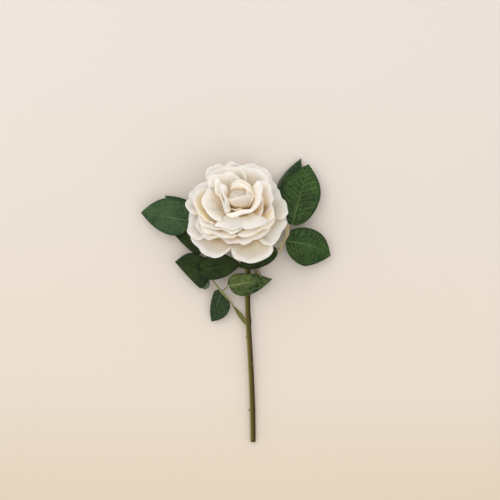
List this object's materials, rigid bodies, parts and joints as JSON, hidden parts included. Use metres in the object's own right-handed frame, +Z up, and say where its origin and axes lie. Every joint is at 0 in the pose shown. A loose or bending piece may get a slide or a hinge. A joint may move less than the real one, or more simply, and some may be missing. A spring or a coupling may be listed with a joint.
{
  "type": "rose",
  "caption": "Cut rose lying down: an open, layered cream bloom on a green stem with compound, toothed leaves.",
  "frame": {"origin": "on the surface, at the centre of the flower's outline seen from above", "axes": "+Y along the stem towards the bloom, +Z up from the surface that the flower lies on"},
  "size_m": [0.179, 0.2684, 0.0721],
  "materials": {
    "petals": "satin, cream white, golden in the depths",
    "leaves": "dark green, veined, slight sheen",
    "stem": "olive green, smooth",
    "stalks": "pale olive green, smooth",
    "calyx": "olive to tan, matt"
  },
  "bodies": {
    "root": {"bloom": "petals", "calyx": "calyx", "stem": "stem", "rachis_left": "stalks", "rachis_lower": "stalks", "rachis_right": "stalks", "leaflet_left_tip": "leaves", "leaflet_left_upper": "leaves", "leaflet_left_lower": "leaves", "leaflet_lower_tip": "leaves", "leaflet_lower_upper": "leaves", "leaflet_lower_cross": "leaves", "leaflet_lower_hanging": "leaves", "leaflet_right_inner": "leaves", "leaflet_right_side": "leaves", "leaflet_right_tip": "leaves", "leaflet_right_upper": "leaves"}
  },
  "joints": []
}
